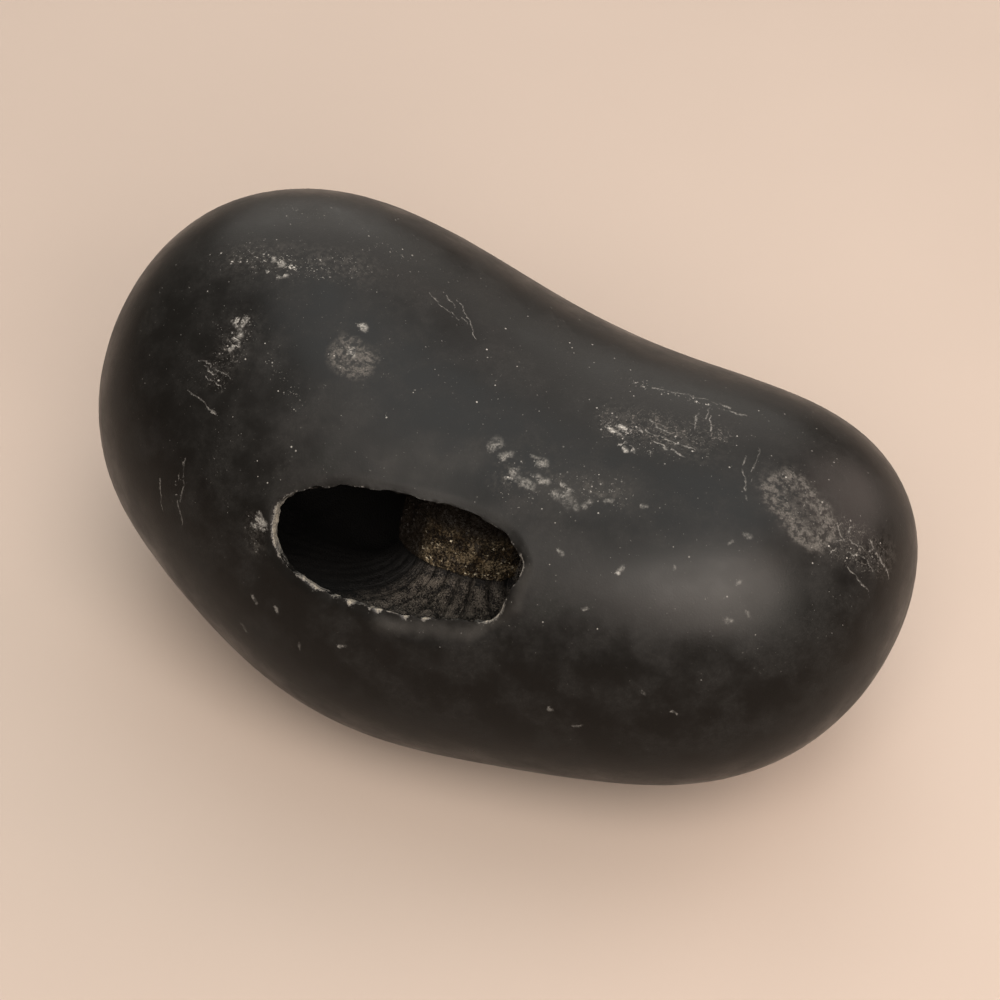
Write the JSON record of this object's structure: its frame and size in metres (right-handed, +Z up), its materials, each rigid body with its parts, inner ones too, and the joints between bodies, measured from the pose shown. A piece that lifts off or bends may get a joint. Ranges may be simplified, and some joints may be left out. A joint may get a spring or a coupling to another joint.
{
  "type": "shaligram stone",
  "caption": "Smooth black bean-shaped river pebble with a worn mouth into the ribbed hollow of a fossil ammonite whorl.",
  "frame": {"origin": "on the resting surface, under the middle of the stone's bounding box", "axes": "+Z up; +X along the stone, from the broad end to the small end; the mouth faces -Y and up"},
  "size_m": [0.0766, 0.0452, 0.0425],
  "materials": {
    "black_stone": "satin, river-worn",
    "brown_druse": "small sparkling crystals"
  },
  "bodies": {
    "root": {"stone": "black_stone", "crystal_crust": "brown_druse"}
  },
  "joints": []
}
